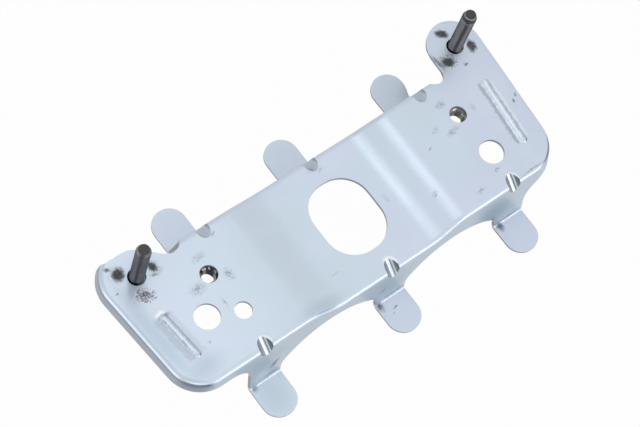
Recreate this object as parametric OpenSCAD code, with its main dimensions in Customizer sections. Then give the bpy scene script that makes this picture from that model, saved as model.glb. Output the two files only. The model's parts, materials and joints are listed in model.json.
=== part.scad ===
// Fuel pump module bracket: a stamped steel bridge on six feet, with two weld studs and two weld nuts.
// Millimetres. The feet rest on z = 0, x runs along the bracket and y across it, and z is up.
// Sizes along x are measured from the middle foot of the near side, which is at -y.

/* [Sheet] */
// Sheet thickness
sheet_t = 1.5; // [1:0.1:2.5]
// Drop from the top face of the plate to the top face of the feet
foot_drop = 23.6; // [15:0.1:35]
// Half width of the plate, to the sharp corner line of the long bends
half_y = 26.5; // [20:0.1:40]
// Lean of the skirt outward, per millimetre of drop
skirt_lean = 0.2; // [0.05:0.01:0.4]
// Outer radius of the bend round the plate
bend_r = 2.5; // [1.8:0.1:5]
// Inner radius of the bend at each foot
foot_bend_r = 1.0; // [0.5:0.1:3]

/* [Ends] */
// Left end line where it crosses the centre line
left_x = -97; // [-120:0.1:-85]
// Right end line where it crosses the centre line
right_x = 88.4; // [80:0.1:115]
// Slant of both end lines, in degrees
end_slant = 4.9; // [0:0.1:12]
// Corner radius at the near left
left_corner_r = 13.6; // [6:0.1:18]
// Corner radius at the near right
right_corner_r = 15; // [6:0.1:18]
// Depth of the left end flange below the plate's top face
left_flange = 5.4; // [4:0.1:10]
// Depth of the right end flange below the plate's top face
right_flange = 8.2; // [4:0.1:10]

/* [Recess] */
// Depth of the recessed middle
recess = 4.3; // [0:0.1:8]
// Middle of the left ramp
left_ramp_x = -33; // [-45:0.5:-20]
// Middle of the right ramp
right_ramp_x = 28; // [20:0.5:45]
// Length of each ramp
ramp_len = 18; // [10:0.5:24]

/* [Feet] */
// Spacing of the near feet
near_pitch = 61.2; // [50:0.1:75]
// Spacing of the far feet
far_pitch = 54.9; // [45:0.1:65]
// Middle of the far feet
far_mid = 0.7; // [-3:0.1:3]
// Foot width
foot_w = 14.5; // [10:0.1:20]
// Distance of the foot tips from the centre line
foot_reach = 47; // [40:0.1:60]
// Corner radius of the foot tips
foot_tip_r = 7; // [3:0.1:9]

/* [Skirt edge] */
// Depth of the skirt at the middle of each scallop
scallop_top = 9.3; // [7:0.1:15]
// Radius of each scallop
scallop_r = 34; // [30:0.5:60]
// Radius where the scallop meets the foot
neck_r = 5; // [1:0.1:5]
// Radius where the end flange meets the first and last foot
shoulder_r = 8.8; // [3:0.1:12]

/* [Studs] */
// Left stud: gap from its lobe to the end line, and how far it lies beyond the far corner line
left_stud = [3.13, -3.4];
// Right stud: gap from its lobe to the end line, and how far it lies beyond the far corner line
right_stud = [0.38, 7.6];
// Stud diameter
stud_d = 5.9; // [5:0.1:8]
// Stud length above the plate
stud_len = 25.9; // [15:0.1:40]
// Length of the pointed end
stud_tip = 1.8; // [0.5:0.1:3]
// Diameter of the pointed end
stud_tip_d = 4.2; // [3:0.1:5]
// Diameter of the plain neck inside the plate, below the thread
stud_neck_d = 5.3; // [4:0.1:5.8]
// Radius of the left lobe round its stud
left_lobe_r = 10.8; // [9.5:0.1:14]
// Radius of the right lobe round its stud
right_lobe_r = 11.7; // [9.5:0.1:14]
// Diameter of the weld flanges under the plate
weld_flange_d = 18; // [14:0.5:20]
// Thickness of the stud's weld flange
stud_flange_t = 2; // [1:0.1:3]

/* [Notches] */
// Radius of the left notch beside its lobe
left_notch_r = 5; // [3:0.1:7]
// Left notch: gap to its lobe, and its direction from the stud, up from the line to the middle, in degrees
left_notch = [2.45, 17.5];
// Radius of the right notch beside its lobe
right_notch_r = 3.5; // [2:0.1:6]
// Right notch: gap to its lobe, and its direction from the stud, up from the line to the middle, in degrees
right_notch = [1.49, -21.8];

/* [Nuts] */
// Left nut: in from the end line, and off the centre line
left_nut = [35.1, 9.3];
// Right nut: in from the end line, and off the centre line
right_nut = [27.4, 9.7];
// Thread bore of the nuts
nut_bore_d = 5.1; // [4:0.1:7]
// Width across the flats of the nuts
nut_flats = 10; // [8:0.5:13]
// Height of the nuts with their flange
nut_h = 5.8; // [4:0.1:8]
// Thickness of the nut's weld flange
nut_flange_t = 1.6; // [1:0.1:3]
// Clearance round a stud or a nut's thread in the plate, across the diameter
fitting_clear = 1.3; // [0.4:0.1:2]

/* [Openings] */
// Central opening along x
opening_x = 26.4; // [15:0.1:32]
// Central opening along y
opening_y = 32.4; // [20:0.1:40]
// Corner radius of the central opening
opening_r = 12.2; // [3:0.1:13]
// Middle of the central opening
opening_at = [-1.3, 0.2];
// Diameter of the two large holes
large_d = 10.4; // [6:0.1:14]
// Left large hole: in from the end line, and off the centre line
left_large = [24.6, -4];
// Right large hole: in from the end line, and off the centre line
right_large = [26.2, -10.3];
// Diameter of the small hole
small_d = 7; // [4:0.1:9]
// Small hole: in from the left end line, and off the centre line
small_at = [37.4, -9.4];

/* [Stiffeners] */
// Length of a dart on the plate, from the corner line
dart_in = 5.2; // [3:0.1:8]
// Drop of a dart on the skirt
dart_down = 4.8; // [3:0.1:7]
// Radius of a dart's round bottom
dart_r = 2.9; // [1.5:0.1:4]
// Spacing of the far darts from the middle
far_dart_pitch = 53.2; // [45:0.1:65]
// Slant of both beads, in degrees
bead_slant = 6; // [0:0.5:12]
// Width of the beads
bead_w = 3.5; // [3:0.1:6]
// Height of the beads
bead_h = 0.9; // [0.5:0.05:1.2]
// Left bead: in from the end line, off the centre line, and length
left_bead = [11.8, -4.5, 21.5];
// Right bead: in from the end line, off the centre line, and length
right_bead = [10.6, 0.8, 31];

/* [Hidden] */
$fn = 64;
top_z = foot_drop + sheet_t;
far = 300;
lean = atan(skirt_lean);
turn = 90 - lean;
set_in = bend_r * tan(turn / 2);
bend_n = 8;
ramp_n = 10;
rim_n = 14;
fitting_hole_d = stud_d + fitting_clear;
slant_t = tan(end_slant);
left_reach = left_lobe_r + left_stud[0];
right_reach = right_lobe_r + right_stud[0];
left_stud_at = from_left(stud_place(-left_x, left_stud[1], left_reach));
right_stud_at = stud_place(right_x, right_stud[1], right_reach);
left_notch_at = from_left(notch_place(from_left(left_stud_at), left_lobe_r + left_notch_r, left_notch));
right_notch_at = notch_place(right_stud_at, right_lobe_r + right_notch_r, right_notch);
left_nut_at = [left_x + left_nut[0], left_nut[1]];
right_nut_at = [right_x - right_nut[0], right_nut[1]];
left_large_at = [left_x + left_large[0], left_large[1]];
right_large_at = [right_x - right_large[0], right_large[1]];
small_hole_at = [left_x + small_at[0], small_at[1]];
left_bead_at = [left_x + left_bead[0], left_bead[1], left_bead[2]];
right_bead_at = [right_x - right_bead[0], right_bead[1], right_bead[2]];
left_tip_x = left_stud_at[0] - left_reach - skirt_lean * left_flange;
right_tip_x = right_stud_at[0] + right_reach + skirt_lean * right_flange;
flange_back = 3;
flange_drawn = 14;
flange_end_turn = 20;
below = -60;
tip_cut_in = 6;
tip_cut_up = 12;
end_skirt = 3.2;
foot_root = 4;
dart_zone = 14;

function arc(c, r, a0, a1, n) =
    [for (i = [0:n]) let(a = a0 + (a1 - a0) * i / n) [c[0] + r * cos(a), c[1] + r * sin(a)]];
function flip(pts) = [for (i = [len(pts) - 1:-1:0]) pts[i]];
function from_left(p) = [-p[0], p[1]];
function stud_place(end_x, beyond, reach) =
    let(y = half_y + beyond) [end_x + slant_t * y - reach / cos(end_slant), y];
function notch_place(stud, apart, notch) =
    let(d = apart + notch[0]) [stud[0] - d * cos(notch[1]), stud[1] + d * sin(notch[1])];
function mirror_x(pts) = [for (i = [len(pts) - 1:-1:0]) [-pts[i][0], pts[i][1]]];

// The sheet's edge seen along its bend: first number outward from the corner line, second up from the top.
function bend_face(off, d) = [
    for (i = [0:bend_n]) let(a = turn * i / bend_n, r = bend_r - off)
        [skirt_lean * d - set_in + r * sin(a), -d - bend_r + r * cos(a)]];
function foot_face(off) =
    let(c = [skirt_lean * foot_drop + foot_bend_r * tan(turn / 2), foot_bend_r - foot_drop], r = foot_bend_r + off)
    [for (i = [bend_n:-1:0]) let(a = turn * i / bend_n) [c[0] - r * sin(a), c[1] - r * cos(a)]];
function half_section(off, d) =
    concat(bend_face(off, d), foot_face(off), [[foot_reach + 2 - half_y, -foot_drop - off]]);
function whole_section(off, d) =
    let(h = [for (p = half_section(off, d)) [half_y + p[0], p[1]]]) concat(mirror_x(h), h);
function ease(u) = let(v = min(1, max(0, u))) v * v * (3 - 2 * v);
function drop_at(x) =
    recess * (ease((x - left_ramp_x) / ramp_len + 0.5) - ease((x - right_ramp_x) / ramp_len + 0.5));

// A closed section of the sheet carried along a row of stations. Each section is its outer face, then its
// inner face backwards.
module sweep(sections) {
    m = len(sections[0]);
    n = len(sections);
    sides = [for (i = [0:n - 2]) for (j = [0:m - 1]) let(k = (j + 1) % m)
        [i * m + j, i * m + k, (i + 1) * m + k, (i + 1) * m + j]];
    start = [for (j = [0:m / 2 - 2]) [j, m - 1 - j, m - 2 - j, j + 1]];
    end = [for (f = start) [for (k = [3:-1:0]) f[k] + (n - 1) * m]];
    polyhedron([for (section = sections) for (p = section) p], concat(sides, start, end), convexity = 10);
}

// The folded channel, its top following the recess.
module channel(x0, x1) {
    xs = concat([x0], [for (i = [0:ramp_n]) left_ramp_x - ramp_len / 2 + ramp_len * i / ramp_n],
        [for (i = [0:ramp_n]) right_ramp_x - ramp_len / 2 + ramp_len * i / ramp_n], [x1]);
    sweep([for (x = xs) let(d = drop_at(x))
        [for (p = concat(whole_section(0, d), flip(whole_section(sheet_t, d)))) [x, p[0], p[1]]]]);
}

// What is cut away under the skirt, seen from the side. Heights are from the plate's top face.
function scallop(x0, x1) =
    let(mid = (x0 + x1) / 2, w = (x1 - x0) / 2, cz = -scallop_top - scallop_r, q = neck_r,
        sx = w - q, sz = cz + sqrt(pow(scallop_r - q, 2) - sx * sx), a = atan2(sz - cz, sx))
    [for (p = concat([[w, below], [w, sz]], arc([sx, sz], q, 0, a, 5), arc([0, cz], scallop_r, a, 180 - a, 20),
        arc([-sx, sz], q, 180 - a, 180, 5), [[-w, below]])) [mid + p[0], p[1]]];
function shoulder(x0, depth) =
    concat([[x0, below]], arc([x0 + shoulder_r, -depth - shoulder_r], shoulder_r, 180, 90, 8),
        [[far, -depth], [far, below]]);
module side_cut(pts, side) {
    deep = side == 0 ? 2 * far : far;
    translate([0, side < 0 ? 0 : far, 0]) rotate([90, 0, 0]) linear_extrude(height = deep) polygon(pts);
}
module foot_outlines(centres) {
    for (x = centres) {
        translate([x - foot_w / 2, 0]) square([foot_w, foot_reach - foot_tip_r]);
        translate([x - foot_w / 2 + foot_tip_r, 0]) square([foot_w - 2 * foot_tip_r, foot_reach]);
        for (s = [-1, 1])
            translate([x + s * (foot_w / 2 - foot_tip_r), foot_reach - foot_tip_r]) circle(r = foot_tip_r);
    }
}
module tip_cut(centres, side) {
    deep = tip_cut_up - foot_drop - below;
    mirror([0, side > 0 ? 0 : 1, 0]) translate([0, 0, below]) linear_extrude(height = deep) difference() {
        translate([-far / 2, half_y + tip_cut_in]) square([far, far / 2]);
        foot_outlines(centres);
    }
}

near_feet = [-near_pitch, 0, near_pitch];
far_feet = [far_mid - far_pitch, far_mid, far_mid + far_pitch];

// A flange running round the plate: its section, with some of the plate behind it. It is drawn deep and
// trimmed later.
flange_section = concat([[-set_in - flange_back, 0]], bend_face(0, 0),
    [[skirt_lean * flange_drawn, -flange_drawn], [skirt_lean * flange_drawn - sheet_t / cos(lean), -flange_drawn]],
    flip(bend_face(sheet_t, 0)), [[-set_in - flange_back, -sheet_t]]);
function flange_at(c, r, a) =
    [for (p = flange_section) [c[0] + (r + p[0]) * cos(a), c[1] + (r + p[0]) * sin(a), p[1]]];
function polar(c, r, a) = [c[0] + r * cos(a), c[1] + r * sin(a)];

// One end, drawn at +x: corner, end flange, the arc round the stud, the lobe and the plate between them.
function corner_at(end_x, r) = [end_x + slant_t * (r - half_y) - r / cos(end_slant), r - half_y];
module end_piece(end_x, corner_r, stud, reach, lobe_r, notch, notch_r) {
    corner = corner_at(end_x, corner_r);
    lobe_top = stud[1] + lobe_r;
    stop = asin(lobe_r / reach);
    gap = notch - stud;
    toward = (atan2(gap[1], gap[0]) + 360) % 360;
    side = toward - acos((lobe_r + notch_r) / norm(gap));
    inset = set_in + 1;
    intersection() {
        sweep(flip(concat([for (i = [0:rim_n]) flange_at(corner, corner_r, -90 + (90 - end_slant) * i / rim_n)],
            [for (i = [0:rim_n]) flange_at(stud, reach, -end_slant + (stop + 10 + end_slant) * i / rim_n)])));
        translate([stud[0] + reach * cos(stop) - set_in, lobe_top, 0]) rotate([0, 0, flange_end_turn])
            translate([-far / 2, -far, -far / 2]) cube(far);
    }
    translate([0, 0, -sheet_t]) linear_extrude(height = sheet_t) polygon(concat(
        [[corner[0] - 4, inset - half_y]], arc(corner, corner_r - inset, -90, -end_slant, 12),
        arc(stud, reach - inset, -end_slant, stop, 12), [polar(stud, reach - set_in, stop)],
        [[stud[0] + reach * cos(stop) - set_in, lobe_top]], arc(stud, lobe_r, 90, side, 24),
        [polar(notch, notch_r, side + 180), notch, [notch[0], 10], [corner[0] - 4, 10]]));
}

// A dart: a round-bottomed groove pressed in across a long bend. grow widens it for the back of the sheet.
module dart(grow) {
    dip = atan2(dart_down, dart_in + skirt_lean * dart_down);
    r = dart_r + grow;
    translate([0, half_y - dart_in, 0]) rotate([-dip, 0, 0]) translate([0, -dart_zone, dart_r]) rotate([-90, 0, 0])
        linear_extrude(height = 3 * dart_zone) {
            circle(r = r);
            translate([-r, -dart_zone]) square([2 * r, dart_zone]);
        }
}
module at_darts() {
    for (side = [[-1, near_pitch], [1, far_dart_pitch]]) for (k = [-1, 0, 1]) {
        x = k * side[1];
        d = drop_at(x);
        translate([x, 0, -d]) mirror([0, side[0] > 0 ? 0 : 1, 0]) translate([0, skirt_lean * d, 0]) children();
    }
}
module dart_backs() {
    at_darts() intersection() {
        dart(sheet_t);
        translate([-dart_zone / 2, 0, 0]) rotate([90, 0, 90]) linear_extrude(height = dart_zone)
            polygon([[half_y - dart_zone, -sheet_t / 2], [half_y - sheet_t / 2, -sheet_t / 2],
                [half_y + skirt_lean * dart_zone - sheet_t / 2, -dart_zone], [half_y - dart_zone, -dart_zone]]);
    }
}

// A bead: a ridge with round ends, raised over a groove pressed up from below.
bead_r = (bead_w * bead_w / 4 + bead_h * bead_h) / (2 * bead_h);
module bead(at, turn_to, off) {
    r = bead_r - off;
    half = at[2] / 2 - bead_w / 2;
    translate([at[0], at[1], bead_h - bead_r]) rotate([0, 0, turn_to]) rotate([90, 0, 0])
        rotate_extrude() polygon(concat(arc([0, half], r, 90, 0, 6), arc([0, -half], r, 0, -90, 6)));
}
module beads(off) {
    bead(left_bead_at, bead_slant, off);
    bead(right_bead_at, -bead_slant, off);
}

module plate() {
    left_corner = corner_at(-left_x, left_corner_r);
    right_corner = corner_at(right_x, right_corner_r);
    left_edge = far_feet[0] - foot_w / 2;
    right_edge = far_feet[2] + foot_w / 2;
    notch_x = right_notch_at[0] - right_notch_r;
    foot_edge = right_edge - notch_x;
    behind = half_y - set_in - 0.5;
    difference() {
        union() {
            difference() {
                channel(-left_corner[0], right_corner[0]);
                for (k = [0, 1]) {
                    side_cut(scallop(near_feet[k] + foot_w / 2, near_feet[k + 1] - foot_w / 2), -1);
                    side_cut(scallop(far_feet[k] + foot_w / 2, far_feet[k + 1] - foot_w / 2), 1);
                }
                side_cut([[-far, below], [left_edge, below], [left_edge, -end_skirt], [-far, -end_skirt]], 1);
                side_cut([[far, below], [far, -end_skirt], [notch_x, -end_skirt],
                    [notch_x, foot_root - foot_drop], [right_edge, -foot_drop], [right_edge, below]], 1);
                tip_cut(near_feet, -1);
                tip_cut(far_feet, 1);
                translate([min(left_notch_at[0], left_edge) - far, behind, -far / 2]) cube(far);
                translate([max(right_notch_at[0], right_edge), behind, -far / 2]) cube(far);
            }
            mirror([1, 0, 0]) end_piece(-left_x, left_corner_r, from_left(left_stud_at), left_reach,
                left_lobe_r, from_left(left_notch_at), left_notch_r);
            end_piece(right_x, right_corner_r, right_stud_at, right_reach,
                right_lobe_r, right_notch_at, right_notch_r);
            dart_backs();
            intersection() {
                beads(0);
                translate([-far / 2, -far / 2, -sheet_t / 2]) cube(far);
            }
        }
        side_cut(shoulder(near_pitch + foot_w / 2, right_flange), 0);
        side_cut(mirror_x(shoulder(near_pitch + foot_w / 2, left_flange)), 0);
        at_darts() dart(0);
        beads(sheet_t);
        for (p = [left_stud_at, right_stud_at, left_nut_at, right_nut_at]) hole(p, fitting_hole_d);
        for (p = [left_large_at, right_large_at]) hole(p, large_d);
        hole(small_hole_at, small_d);
        hole(left_notch_at, 2 * left_notch_r);
        hole(right_notch_at, 2 * right_notch_r);
        // The right notch runs on down the skirt and narrows the root of the foot beside it.
        translate([notch_x, right_notch_at[1], -top_z - 1]) linear_extrude(height = top_z)
            polygon([[0, 0], [0.5, 3.2], [1.2, 5.8], [foot_edge - 0.5, 8.4], [foot_edge, 10.6],
                [foot_edge + 8, 10.6], [foot_edge + 8, 0]]);
        translate([opening_at[0], opening_at[1], -20]) linear_extrude(height = 40) opening_outline();
    }
}
module hole(at, d) {
    translate([at[0], at[1], -10]) cylinder(d = d, h = 20);
}
module opening_outline() {
    sx = opening_x / 2 - opening_r;
    sy = opening_y / 2 - opening_r;
    polygon(concat(arc([sx, sy], opening_r, 0, 90, 12), arc([-sx, sy], opening_r, 90, 180, 12),
        arc([-sx, -sy], opening_r, 180, 270, 12), arc([sx, -sy], opening_r, 270, 360, 12)));
}

// The row's origin lies under the middle of the bracket's length.
module in_row_frame() {
    translate([-(left_tip_x + right_tip_x) / 2, 0, top_z]) children();
}
module bracket_plate() {
    color([0.78, 0.83, 0.9]) in_row_frame() plate();
}
module weld_stud(at) {
    color([0.3, 0.3, 0.32]) in_row_frame() translate([at[0], at[1], -sheet_t - stud_flange_t]) {
        cylinder(d = weld_flange_d, h = stud_flange_t);
        translate([0, 0, stud_flange_t]) rotate_extrude() polygon([
            [0, -stud_flange_t / 2], [stud_neck_d / 2, -stud_flange_t / 2],
            [stud_neck_d / 2, sheet_t], [stud_d / 2, sheet_t],
            [stud_d / 2, sheet_t + stud_len - stud_tip], [stud_tip_d / 2, sheet_t + stud_len],
            [0, sheet_t + stud_len]]);
    }
}
module weld_stud_left() {
    weld_stud(left_stud_at);
}
module weld_stud_right() {
    weld_stud(right_stud_at);
}
module weld_nut(at) {
    color([0.35, 0.35, 0.38]) in_row_frame() translate([at[0], at[1], -sheet_t - nut_h]) difference() {
        union() {
            translate([0, 0, nut_h - nut_flange_t]) cylinder(d = weld_flange_d, h = nut_flange_t);
            cylinder(d = nut_flats / cos(30), h = nut_h - nut_flange_t / 2, $fn = 6);
        }
        translate([0, 0, -1]) cylinder(d = nut_bore_d, h = nut_h + 2);
        translate([0, 0, -0.01]) cylinder(d1 = nut_bore_d + 1.2, d2 = nut_bore_d, h = 0.6);
        translate([0, 0, nut_h - 0.6]) cylinder(d1 = nut_bore_d, d2 = nut_bore_d + 1.2, h = 0.61);
    }
}
module weld_nut_left() {
    weld_nut(left_nut_at);
}
module weld_nut_right() {
    weld_nut(right_nut_at);
}

bracket_plate();
weld_stud_left();
weld_stud_right();
weld_nut_left();
weld_nut_right();
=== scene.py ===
"""Dresses the fuel pump module bracket: a zinc plated stamping with weld studs and weld nuts.

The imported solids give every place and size. This script adds the finishes, the screw threads,
the floor, the lamps and the camera. Lengths are in metres.
"""

import json
import logging
import math
from collections.abc import Callable
from dataclasses import dataclass
from enum import Enum

import bpy
from mathutils import Matrix, Vector

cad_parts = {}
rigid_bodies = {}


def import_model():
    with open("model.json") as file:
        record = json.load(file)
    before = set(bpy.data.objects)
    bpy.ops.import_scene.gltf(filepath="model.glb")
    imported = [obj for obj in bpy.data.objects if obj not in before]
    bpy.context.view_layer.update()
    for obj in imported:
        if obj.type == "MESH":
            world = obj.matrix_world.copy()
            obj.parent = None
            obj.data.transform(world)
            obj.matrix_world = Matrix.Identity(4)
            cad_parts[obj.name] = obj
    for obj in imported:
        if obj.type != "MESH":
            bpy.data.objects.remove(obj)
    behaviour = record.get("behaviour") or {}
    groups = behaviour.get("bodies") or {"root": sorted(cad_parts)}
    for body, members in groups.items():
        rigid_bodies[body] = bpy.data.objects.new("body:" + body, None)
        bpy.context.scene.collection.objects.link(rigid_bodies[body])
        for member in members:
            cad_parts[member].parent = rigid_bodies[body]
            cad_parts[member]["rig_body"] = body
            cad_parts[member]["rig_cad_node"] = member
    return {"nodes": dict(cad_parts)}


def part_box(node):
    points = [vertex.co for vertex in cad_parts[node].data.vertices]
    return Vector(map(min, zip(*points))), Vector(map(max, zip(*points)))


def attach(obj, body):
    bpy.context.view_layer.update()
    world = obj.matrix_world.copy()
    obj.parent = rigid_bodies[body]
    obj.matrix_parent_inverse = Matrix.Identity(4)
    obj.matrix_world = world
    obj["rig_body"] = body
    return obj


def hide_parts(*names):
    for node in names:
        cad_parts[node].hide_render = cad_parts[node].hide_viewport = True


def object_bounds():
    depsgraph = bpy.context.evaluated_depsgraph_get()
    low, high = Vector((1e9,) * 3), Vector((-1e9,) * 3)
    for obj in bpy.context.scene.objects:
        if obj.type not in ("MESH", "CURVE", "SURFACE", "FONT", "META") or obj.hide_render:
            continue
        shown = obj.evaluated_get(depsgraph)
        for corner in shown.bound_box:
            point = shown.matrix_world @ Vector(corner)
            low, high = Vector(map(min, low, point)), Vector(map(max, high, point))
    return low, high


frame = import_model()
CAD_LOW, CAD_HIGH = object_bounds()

log = logging.getLogger("bracket")
MM = 0.001
BODY = "root"
SHEET = 1.5 * MM
STUD_TO_FOOT = 85 * MM
Socket = bpy.types.NodeSocket
Pair = tuple[float, float]
Triple = tuple[float, float, float]
Range = tuple[float, ...]
Colour = tuple[float, float, float, float]


def rgb(red: float, green: float, blue: float) -> Colour:
    """Turns screen values from 0 to 255 into a linear colour."""
    shares = [value / 255 for value in (red, green, blue)]
    return tuple([s / 12.92 if s < 0.04 else ((s + 0.055) / 1.055) ** 2.4 for s in shares] + [1.0])


class Face(Enum):
    """The surface of the stamping that a mark lies on."""

    TOP = "top"
    SKIRT = "skirt"


class Trace(Enum):
    """What a mark on the zinc is made of; some kinds are painted shade or painted highlight, and
    one marks where the darts lie.
    """

    BURN = "burn"
    RING = "ring"
    SMEAR = "smear"
    SCUFF = "scuff"
    DIRT = "dirt"
    # Bluish patches of painted shade.
    SHEEN = "blue_shade"
    # Lines and patches of painted shade.
    SOIL = "shade_mark"
    # Painted highlights.
    BRIGHT = "bright"
    DART = "dart"
    # Painted highlights on the dart lips.
    LIP = "lip_highlight"


@dataclass(frozen=True)
class Mark:
    """One mark on the plate, in millimetres.

    x is measured from the middle foot of the near side and v across the plate, or up from the
    plate's top face on the skirt. long and wide are half sizes, and turn is in degrees.
    """

    trace: Trace
    face: Face
    x: float
    v: float
    long: float
    wide: float
    turn: float = 0.0
    strength: float = 1.0


MARKS: tuple[Mark, ...] = tuple(
    Mark(trace, face, *sizes)
    for trace, face, rows in (
        (Trace.BURN, Face.TOP, (
            (-90.4, 27.5, 2.3, 2.9, -35), (-77.9, 23.4, 1.6, 2.3, 10),
            (-79.0, 20.2, 1.6, 0.6, -20, 0.5), (77.9, 41.3, 2.9, 1.8, -40),
            (85.1, 30.6, 2.0, 2.9, -20), (72.1, 29.9, 2.8, 2.0, -30),
        )),
        (Trace.SMEAR, Face.TOP, (
            (-91.0, 28.6, 3.6, 3.4, 0, 0.6), (-77.6, 22.6, 2.8, 3.6, 10, 0.8),
            (75.1, 32.1, 2.0, 1.2, -30, 0.9), (-61.3, 17.0, 3.2, 1.6, 10, 0.75),
            (-55.4, 5.1, 1.9, 2.8, 10, 0.85), (-68.7, 6.6, 3.8, 2.5, 0, 0.8),
            (-63.7, -3.2, 0.7, 2.6, 0, 0.7), (57.5, 16.7, 2.6, 1.8, 0, 0.75),
            (68.0, 9.0, 1.4, 2.2, 0, 0.5), (54.5, 5.0, 3.6, 1.5, 10, 0.8),
        )),
        (Trace.RING, Face.TOP, (
            (-86.5, 15.2, 3.3, 2.4, -32), (72.2, 30.2, 3.4, 2.6, -40, 0.8),
        )),
        (Trace.DIRT, Face.TOP, (
            (-94.8, 21.4, 0.8, 0.6, 0, 0.9), (-92.8, 31.2, 1.3, 0.9, -35),
            (68.6, 32.0, 0.9, 4.6, 8, 0.75), (77.9, 25.5, 0.9, 0.7), (41.9, 4.0, 1.2, 0.4, 25, 0.8),
            (84.2, 2.3, 0.6, 0.9, 0, 0.8), (86.5, 4.0, 0.6, 0.8, 0, 0.8),
            (-0.7, -35.8, 1.3, 0.4, 10, 0.8), (-2.8, -37.5, 0.7, 0.35, 0, 0.5),
        )),
        # Bluish painted shade: the left stud's shadow, the left end and its near corner, a dull
        # stretch of the near bend, and the near-left foot.
        (Trace.SHEEN, Face.TOP, (
            (-91.2, 18.6, 4.6, 2.0, 50, 0.5), (-92.8, 0.0, 4.6, 30.0, 5, 0.6),
            (-87.0, -19.0, 11.0, 5.5, 0, 0.5), (-33.0, -24.8, 12.0, 4.2, 0, 0.4),
            (-62.5, -39.5, 7.5, 8.5, 0, 0.35),
        )),
        (Trace.SCUFF, Face.TOP, (
            (48.5, 9.0, 2.0, 1.1, 20, 0.5), (59.2, -17.5, 1.3, 1.0, 0, 0.8),
            (48.0, -21.0, 2.2, 1.2, 10, 0.6), (32.0, -12.0, 1.8, 1.0, 30, 0.7),
            (16.0, -2.0, 0.8, 2.2, 10, 0.3), (-20.0, -16.0, 2.6, 0.5, 0, 0.4),
            (-77.5, -12.5, 1.0, 0.6, 0, 0.5), (-51.0, 21.6, 1.6, 0.7, 40, 0.7),
            (1.5, 21.6, 1.6, 0.7, 40, 0.6),
        )),
        # Painted shade: dark lines and patches at the feet's roots, along the near right bend, in
        # the far middle dart and at the left bead's end.
        (Trace.SOIL, Face.TOP, (
            (-1.2, 24.0, 2.6, 1.6, 10, 0.3), (71.5, -25.0, 7.0, 0.4, 1, 0.5),
            (-84.8, 4.8, 2.1, 1.0, 0, 0.45), (-66.6, -30.6, 1.4, 2.6, 0, 0.9),
            (-5.8, -31.8, 1.7, 3.0), (56.3, -31.8, 1.7, 3.2),
        )),
        # Painted highlights at the beads' upper ends.
        (Trace.BRIGHT, Face.TOP, (
            (-86.5, 6.4, 2.0, 1.1, 0, 0.9), (79.1, 15.4, 1.2, 1.2, 0, 0.7),
        )),
        # Bluish painted shade on the skirt above the feet.
        (Trace.SHEEN, Face.SKIRT, (
            (51.0, -12.0, 11.0, 8.0), (0.0, -13.0, 10.0, 8.0, 0, 0.55),
            (-59.5, -8.5, 8.0, 5.0, 0, 0.4),
        )),
        # Painted light on the lower skirt by the near-left foot.
        (Trace.BRIGHT, Face.SKIRT, (
            (-63.0, -18.0, 3.6, 3.6, 0, 0.3),
        )),
        (Trace.DIRT, Face.SKIRT, (
            (-57.0, -14.8, 2.6, 1.4, 40, 0.8), (-4.3, -15.2, 2.2, 0.6, 35, 0.6),
            (51.8, -16.5, 1.5, 1.2, 0, 0.6),
        )),
        # Lines of painted shade on the skirt just above the feet's bends.
        (Trace.SOIL, Face.SKIRT, (
            (-59.0, -20.8, 6.5, 0.6, 0, 0.7), (1.5, -21.4, 6.5, 0.7, 0, 0.6),
            (61.0, -21.8, 6.5, 0.9, 0, 0.6),
        )),
        (Trace.DART, Face.TOP, (
            (-61.2, -25.6, 4.4, 4.6), (0.0, -25.6, 4.4, 4.6), (61.2, -25.6, 4.4, 4.6),
            (-53.2, 25.6, 4.4, 4.6), (0.0, 25.6, 4.4, 4.6), (53.2, 25.6, 4.4, 4.6),
        )),
        # Painted highlights on the lips of the near darts.
        (Trace.LIP, Face.TOP, (
            (-60.9, -24.9, 2.6, 3.1), (0.3, -24.9, 2.6, 3.1), (61.5, -24.9, 2.6, 3.1),
        )),
    )
    for sizes in rows
)


@dataclass(frozen=True)
class Band:
    """A band along a bead or dart, in millimetres off its middle line, with the tone it takes."""

    middle: float
    inner: float
    outer: float
    tone: str
    share: float = 1.0
    end: float = 1.0


@dataclass(frozen=True)
class Bead:
    """One bead on the plate: its middle, half length, turn in degrees, and bands."""

    x: float
    y: float
    half: float
    turn: float
    bands: tuple[Band, ...]


# Painted shade and painted highlight across each bead, band by band.
BEADS: tuple[Bead, ...] = (
    Bead(-85.2, -4.5, 10.9, 6.0, (
        Band(-2.6, 1.0, 2.2, "drawn", 0.45, 0.98),
        Band(-1.4, 0.2, 0.6, "drawn", 0.75, 0.98),
        Band(-0.3, 0.2, 0.7, "bright", 0.25, 0.9),
        Band(1.1, 0.2, 0.8, "drawn", 0.45),
        Band(2.6, 0.5, 1.8, "drawn", 0.2, 0.98),
    )),
    Bead(77.8, 0.8, 15.9, -6.0, (
        Band(-2.6, 0.3, 1.2, "drawn", 0.65, 0.98),
        Band(1.1, 0.25, 0.9, "drawn", 0.5),
        Band(-0.5, 0.3, 0.9, "bright", 0.45, 0.94),
        Band(2.5, 0.2, 0.9, "bright", 0.45, 0.9),
    )),
)


@dataclass(frozen=True)
class Coat:
    """How one kind of mark is laid on: where it starts to fade, how much shows, and its tone.

    grain is the speckle's range over which it breaks up, with the shares at the range's ends
    where they aren't 0 and 1. hollow is where its empty middle starts to fade.
    """

    trace: Trace
    edge: float
    share: float
    tone: str
    grain: Range = ()
    hollow: float = 0.0


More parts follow.
